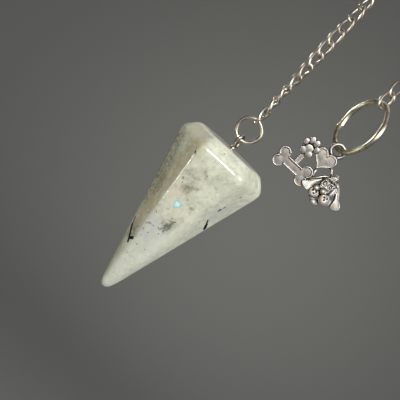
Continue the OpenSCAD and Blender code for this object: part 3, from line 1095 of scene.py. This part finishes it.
def bone_forms():
    """A lying bone: a shaft and two knobs at each end, flat in front with a crisp rim."""
    x, z, length, height = BONE
    knob = height * KNOB_SHARE
    shaft = height * SHAFT_SHARE
    half = length / 2 - knob
    front = -CHARM_THICK / 2
    t = np.linspace(-0.35 * np.pi, 0.85 * np.pi, 30)
    forms = [slab(bar_outline(x - half, z, x + half, z, 2 * shaft), CHARM_THICK, 0.12, 0.04)]
    for side in (-1, 1):
        for rise in (-1, 1):
            centre = np.array([x + side * half, z + rise * (height / 2 - knob)])
            around = np.stack([side * np.cos(t), rise * np.sin(t)], 1) * (knob - BONE_RIM_INSET)
            forms += [
                slab(round_outline(*centre, 2 * knob, 2 * knob), CHARM_THICK, 0.12, 0.04),
                tube(at_depth(centre + around, front), BONE_RIM, (0, 1, 0), 10),
            ]
        edge = z + side * (shaft - BONE_RIM_INSET)
        ends = [(x - half + knob, front, edge), (x + half - knob, front, edge)]
        forms.append(rope(ends, [BONE_RIM, BONE_RIM]))
    return forms


def strut_forms():
    """Thin struts from the heart to the forelock and to the bone."""
    return [
        rope([(0.9, 0, -3.4), (1.75, 0, -3.7), (2.5, 0, -4.5)], [0.4, 0.3, 0.35]),
        rope([(-0.75, 0, -5.3), (-0.6, 0, -6.2), (-0.5, 0, -7.2)], [0.26, 0.3, 0.6]),
    ]


lower_forms = bone_forms() + strut_forms()
print("forms in the bone and the struts:", len(lower_forms))

# %% Chart the dog's head
# Rounds: right, up, width, height, thickness, rim, dome, how far out, and tilt
SKULL = [
    (3.3, -6.5, 3.3, 3.9, 1.7, 0.3, 0.1, 0.1, 0.14),
    (5.05, -6.95, 1.1, 2.6, 1.7, 0.3, 0.15, 0.3, 0.16),
]
MUZZLE = [
    (3.4, -8.05, 1.5, 1.4, 1.6, 0.25, 0.2, 0.95, 0.18),
    (1.95, -8.4, 1.35, 1.2, 1.6, 0.25, 0.16, 0.6, 0.18),
    (2.1, -9.5, 2.3, 2.1, 1.9, 0.3, 0.16, 0.4, 0.18),
    (4.85, -9.25, 2.75, 2.65, 2.0, 0.3, 0.22, 0.45, 0.18),
    (2.7, -10.5, 1.7, 1.35, 1.7, 0.25, 0.16, 0.2, 0.18),
    (3.5, -11.0, 1.75, 1.45, 1.7, 0.3, 0.16, 0.25, 0.18),
]
# The forelock: its root (right, up), and its strands: lean, length, radius in the middle
FORELOCK_ROOT = (3.4, -5.3)
FORELOCK = [
    (-0.75, 1.5, 0.2), (-0.4, 1.55, 0.24), (-0.12, 1.75, 0.27), (0.12, 1.8, 0.28),
    (0.4, 1.45, 0.24),
]
# Outlines of the ears: right and up
LEFT_EAR = np.array([
    [1.9, -5.3], [2.1, -6.1], [1.45, -7.0], [1.15, -8.2], [1.05, -9.4], [0.95, -10.1],
    [0.55, -10.3], [-0.5, -10.1], [-1.2, -9.75], [-1.35, -9.3], [-0.8, -8.7], [0.0, -7.9],
    [0.45, -7.1], [0.95, -6.2],
])
RIGHT_EAR = np.array([
    [3.9, -4.6], [4.9, -4.75], [5.75, -5.5], [6.4, -6.35], [6.95, -7.05], [7.65, -7.5],
    [8.2, -7.95], [8.5, -8.6], [8.4, -9.3], [7.85, -9.75], [7.1, -9.9], [6.6, -9.65],
    [6.45, -9.0], [6.35, -8.25], [6.05, -7.6], [5.7, -6.95], [5.2, -6.2], [4.6, -5.6],
    [4.0, -5.2],
])
# Eyes: right, up, half width, half height and lean, then the depth and radius of the rims
EYES = [(2.5, -6.65, 0.5, 0.76, -0.12), (3.95, -6.5, 0.42, 0.7, 0.1)]
EYE_RIM_DEPTH = -1.05
EYE_RIM = 0.13
# Ridges, as places (right, depth, up) and the radius at each: the left ear's edge, then
# the two brows
EAR_EDGE = (
    [(2.3, -0.5, -5.0), (1.45, -0.65, -5.7), (0.7, -0.7, -6.7), (0.1, -0.6, -7.5),
     (-1.0, -0.4, -8.6)],
    [0.2, 0.26, 0.28, 0.26, 0.2],
)
BROWS = [
    ([(1.95, -0.9, -5.9), (2.3, -1.1, -5.3), (2.9, -1.1, -5.2), (3.2, -1.0, -5.6)],
     [0.13, 0.18, 0.18, 0.13]),
    ([(3.6, -1.0, -5.5), (4.1, -1.1, -5.15), (4.6, -0.9, -5.5)], [0.12, 0.2, 0.14]),
]
print("ear outlines:", len(LEFT_EAR), "and", len(RIGHT_EAR), "corners")


# %% Make the dog's head
def round_slabs(rows):
    """Oval slabs from the rows of a table."""
    return [slab(round_outline(*row[:4]), *row[4:]) for row in rows]


def head_forms():
    """Skull and cheek, forelock, and two hanging ears: a broad flap on the left, and on the
    right a slim ear that widens to a round end."""
    forms = round_slabs(SKULL)
    right, up = FORELOCK_ROOT
    for lean, reach, thick in FORELOCK:
        root = (right + 0.5 * lean, -0.95, up)
        tip = (right + reach * math.sin(lean), -0.65, up + reach * math.cos(lean))
        halfway = (0.5 * (root[0] + tip[0]), -0.9, 0.5 * (root[2] + tip[2]))
        forms.append(rope([root, halfway, tip], [0.22, thick, 0.1]))
    return forms + [
        slab(smooth_outline(LEFT_EAR, 72), 1.3, 0.12, 0.1, out=0.15, tilt=0.2),
        rope(*EAR_EDGE),
        slab(smooth_outline(RIGHT_EAR, 96), 1.2, 0.35, 0.18, out=0.1, tilt=0.14),
    ]


def eye_forms():
    """Each eye is a pupil inside an upright oval rim, under a brow."""
    forms = []
    t = np.linspace(0, 2 * np.pi, 40, endpoint=False)
    for x, z, wide, high, lean in EYES:
        across, up = wide * np.cos(t), high * np.sin(t)
        c, s = math.cos(lean), math.sin(lean)
        oval = np.stack([x + c * across - s * up, z + s * across + c * up], 1)
        forms.append(tube(at_depth(oval, EYE_RIM_DEPTH), EYE_RIM, (0, 1, 0), 10, True))
        forms.append(pebble(x + 0.03, z - 0.12, wide * 0.8, high * 0.85, 0.6, 0.95))
    return forms + [rope(*brow) for brow in BROWS]


def muzzle_forms():
    """A wide form under the muzzle, then nose, two puffs, lip and chin in front of it."""
    return [pebble(3.4, -8.1, 3.4, 3.2, 2.0, 0.1)] + round_slabs(MUZZLE)


rings = [loop_ring(), heart_rim()]
solid_forms = upper_forms + lower_forms + head_forms() + eye_forms() + muzzle_forms()
loop_flags = [True] * len(rings) + [False] * len(solid_forms)
wax_mesh = mesh_of("charm_wax", rings + solid_forms, loop_flags, scale=1.0)
print("forms in the charm:", len(loop_flags))

# %% Fuse the charm
VOXEL = 0.075
# Whisker pits on the puffs: right and up, with one half width and depth for all
PITS = np.array([[1.55, -9.3], [2.2, -9.75], [2.45, -9.1], [4.4, -8.8], [5.0, -8.65], [4.7, -9.3]])
PIT_WIDTH = 0.18
PIT_DEPTH = 0.14
# Darkness of the patina on flat faces, what hollows and pits add to it, and painted shade on the
# sides
FACE_DARK = 0.5
HOLLOW_DARK = 1 / 7
SIDE_SHADE = 0.36
PIT_DARK = 0.4
# Painted shade falls on a side where its normal's depth stays below this, and fully so where it is
# lower by the fade
SIDE_DEPTH = 0.65
SIDE_FADE = 0.4


def fused(mesh):
    """The mesh remeshed on a fine voxel grid and smoothed, as a new mesh."""
    wax = bpy.data.objects.new("charm_wax", mesh)
    bpy.context.scene.collection.objects.link(wax)
    remesh = wax.modifiers.new("fuse", "REMESH")
    remesh.mode = "VOXEL"
    remesh.voxel_size = VOXEL
    remesh.use_smooth_shade = True
    smooth = wax.modifiers.new("melt", "SMOOTH")
    smooth.factor = 0.5
    smooth.iterations = 3
    graph = bpy.context.evaluated_depsgraph_get()
    result = bpy.data.meshes.new_from_object(wax.evaluated_get(graph), depsgraph=graph)
    bpy.data.objects.remove(wax)
    return result


def points_of(mesh, kind):
    """The places ("co") or the normals ("normal") of a mesh's points, one row each."""
    values = np.empty(len(mesh.vertices) * 3)
    mesh.vertices.foreach_get(kind, values)
    return values.reshape(-1, 3)


def cavity_of(mesh):
    """How hollow the surface is at each point: the way from a point to the middle of its
    neighbours, measured along the normal, then averaged with the neighbours six times."""
    count = len(mesh.vertices)
    points, normals = points_of(mesh, "co"), points_of(mesh, "normal")
    edges = np.empty(len(mesh.edges) * 2, int)
    mesh.edges.foreach_get("vertices", edges)
    a, b = edges.reshape(-1, 2).T
    degree = np.bincount(edges, minlength=count)

    def neighbours(values):
        return (np.bincount(a, values[b], count) + np.bincount(b, values[a], count)) / degree

    middle = np.stack([neighbours(points[:, k]) for k in range(3)], 1)
    hollow = np.sum((middle - points) * normals, 1)
    for _ in range(6):
        hollow = (hollow + neighbours(hollow)) / 2
    return hollow


charm_mesh = fused(wax_mesh)
hollow = cavity_of(charm_mesh)
spread = np.std(hollow)
charm_points, normals = points_of(charm_mesh, "co"), points_of(charm_mesh, "normal")
# Painted shade: sides that turn away from the front are darkened, standing for the dark edges of
# the metal
sides = np.clip((SIDE_DEPTH - np.abs(normals[:, 1])) / SIDE_FADE, 0, 1)
from_pits = np.linalg.norm(charm_points[:, None, [0, 2]] - PITS, axis=2).min(1)
pressed = np.exp(-((from_pits / PIT_WIDTH) ** 2)) * (normals[:, 1] < -0.3)
patina_and_side_shade = FACE_DARK + HOLLOW_DARK * hollow / spread + SIDE_SHADE * sides + PIT_DARK * pressed
layer = charm_mesh.attributes.new("patina_and_shade", "FLOAT", "POINT")
layer.data.foreach_set("value", np.clip(patina_and_side_shade, 0, 1).astype(np.float32))
charm_points += [0, PIT_DEPTH, 0] * pressed[:, None] + loop_place
charm_mesh.vertices.foreach_set("co", (charm_points * MM).ravel())
print("charm: %d faces, hollows spread %.4f" % (len(charm_mesh.polygons), spread))

# %% [markdown]
# ### Antique silver
#
# An antique finish is darkened all over and then rubbed, so it stays dark in the hollows and
# shines where it stands out. A dark layer could be painted by hand. Here the fused mesh carries a
# value at each point that says how hollow it is there, with painted shade added on the sides that
# turn away from the front. The finish turns that value into dark and bright metal.

# %% Finish the charm
def charm_finish():
    """Antique silver: bright on what stands out, dark in the hollows and, as painted shade, on the
    sides, lightly pitted.
    """
    tree = Tree("antique_casting")
    patina_and_shade = tree.nodes.new("ShaderNodeAttribute")
    patina_and_shade.attribute_name = "patina_and_shade"
    pits = tree.noise(0.22, 3.0, 0.6)
    shake = tree.math("MULTIPLY", tree.math("SUBTRACT", pits, 0.5), 0.18)
    uneven = tree.math("ADD", patina_and_shade.outputs["Fac"], shake)
    # Dark metal: patina in the hollows and pits, and painted shade on the sides
    dark = tree.step(uneven, 0.64, 0.88)
    worn = tree.step(uneven, 0.45, 0.27)
    cloudy = tree.step(tree.noise(0.9, 4.0, offset=(4, 4, 1)), 0.4, 0.75)
    tinged = tree.step(tree.noise(1.3, 3.0, offset=(7, 2, 3)), 0.4, 0.62)
    bright = tree.mix(tinged, (0.19, 0.195, 0.20), (0.25, 0.215, 0.18))
    bright = tree.mix(cloudy, bright, (0.14, 0.135, 0.12))
    bright = tree.mix(worn, bright, (0.52, 0.475, 0.43))
    tree.bump(pits, 0.02)
    return tree.finish(
        Base_Color=tree.mix(dark, bright, (0.035, 0.025, 0.018)),
        Metallic=1.0,
        Roughness=tree.step(dark, 0.0, 1.0, 0.42, 0.7),
    )


piece("cast_charm", charm_mesh, charm_finish(), "suspension", "antique_casting", "dog_charm")

# %% [markdown]
# ## Studio
#
# A plain pale floor runs up into a round wall, so there is grey behind the jewel from
# every side and no horizon. The lights are squares, because polished edges show the shape
# of what lights them. The key light above the camera draws the bright line along the front
# of the stone, and the right one fills its facets. Weaker ones stand on the left, low on
# the left and behind, a narrow beam picks out the chain, and a wide ceiling light softens
# the shadows.

# %% Build the floor
FLOOR_DROP = 350
FLOOR_RADIUS = 1500
WALL_RISE = 1300
WALL_BEND = 500
# Middle of a pool of painted light on the wall behind the pendant
PAINTED_POOL = (88.0, 1350.0, -152.0)


def floor_grid():
    """A bowl: a flat disc whose edge turns up along a quarter circle into a wall."""
    turn = np.linspace(0, np.pi / 2, 14)
    curl = FLOOR_RADIUS - WALL_BEND + WALL_BEND * np.sin(turn)
    radius = np.concatenate([[1, 400, 800], curl, [FLOOR_RADIUS]])[:, None]
    rise = np.concatenate([[0, 0, 0], WALL_BEND * (1 - np.cos(turn)), [WALL_RISE]])[:, None]
    t = np.linspace(0, 2 * np.pi, 72, endpoint=False)
    lowest = node_box("pendulum_stone")[0][2] - FLOOR_DROP
    return np.stack([radius * np.cos(t), radius * np.sin(t), lowest + rise + 0 * t], -1)


bowl = floor_grid()
quads, fans = grid_faces(*bowl.shape[:2], False)
fans = fans[fans[:, 0] == bowl.shape[0] * bowl.shape[1]]
floor_mesh = bpy.data.meshes.new("floor")
floor_points = np.concatenate([bowl.reshape(-1, 3), bowl[0].mean(0)[None]]) * MM
floor_mesh.from_pydata(floor_points, [], quads.tolist() + fans.tolist())
floor_mesh.shade_smooth()
floor_tree = Tree("floor")
from_painted_pool = floor_tree.vector("LENGTH", floor_tree.vector("SUBTRACT", floor_tree.place, PAINTED_POOL))
painted_pool = floor_tree.step(from_painted_pool, 50.0, 580.0, 1.0, 0.0)
# The wall is paler in a pool of painted light behind the pendant
pale = floor_tree.mix(painted_pool, (0.46, 0.457, 0.44), (0.765, 0.771, 0.725))
floor_mesh.materials.append(floor_tree.finish(Base_Color=pale, Roughness=0.9))
floor = bpy.data.objects.new("floor", floor_mesh)
bpy.context.scene.collection.objects.link(floor)
floor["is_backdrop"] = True
print("floor: radius %d mm, %d mm below the tip" % (FLOOR_RADIUS, FLOOR_DROP))


# %% Set the lights
CHAIN_AIM = np.array([-3.0, 0.0, -56.0])


def soft_light(
    name, watts, size, azimuth, elevation, distance, colour=(1, 1, 1), spread=180, aim=AIM
):
    """A square light that looks at the aim. Azimuth 0 is the camera's side, positive to
    the right, and lengths are in millimetres. A small spread lights only what is near the
    aim."""
    data = bpy.data.lights.new(name, "AREA")
    data.energy = watts
    data.size = size * MM
    data.color = colour
    data.spread = math.radians(spread)
    light = bpy.data.objects.new(name, data)
    a, e = math.radians(azimuth), math.radians(elevation)
    away = Vector((math.sin(a) * math.cos(e), -math.cos(a) * math.cos(e), math.sin(e)))
    light.matrix_world = Matrix.Translation(Vector(aim * MM) + away * distance * MM) @ (
        away.to_track_quat("Z", "Y").to_matrix().to_4x4()
    )
    bpy.context.scene.collection.objects.link(light)
    print("%s: %s W" % (name, watts))


# Watts, size, azimuth, elevation and distance
soft_light("key_light", 1.45, 95, 6, 23, 420, (1.0, 0.99, 0.96))
soft_light("right_light", 1.5, 260, 66, 28, 500)
soft_light("left_light", 0.05, 400, -66, 26, 600)
soft_light("low_light", 0.27, 50, -62, -30, 380, (1.0, 0.98, 0.9))
soft_light("chain_light", 0.002, 20, -152, 4, 150, spread=18, aim=CHAIN_AIM)
soft_light("back_light", 0.5, 900, 188, 45, 1000, spread=90)
soft_light("ceiling_light", 6.4, 2000, 0, 89, 2500)
world = bpy.data.worlds.new("room")
world.use_nodes = True
world.node_tree.nodes["Background"].inputs["Color"].default_value = (0.9, 0.95, 1.0, 1)
world.node_tree.nodes["Background"].inputs["Strength"].default_value = 0.06
bpy.context.scene.world = world

# %% [markdown]
# ## The two boxes
#
# The imported model's box and the visual model's box are printed side by side, in metres.
# The visual model has to keep to the imported model's box.

# %% Write the sizes and finish
boxes = {
    "cad": [list(corner) for corner in cad_box],
    "visual": [list(corner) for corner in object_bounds()],
}
for name, box in boxes.items():
    print(name, "box in metres:", np.round(box, 4).tolist())
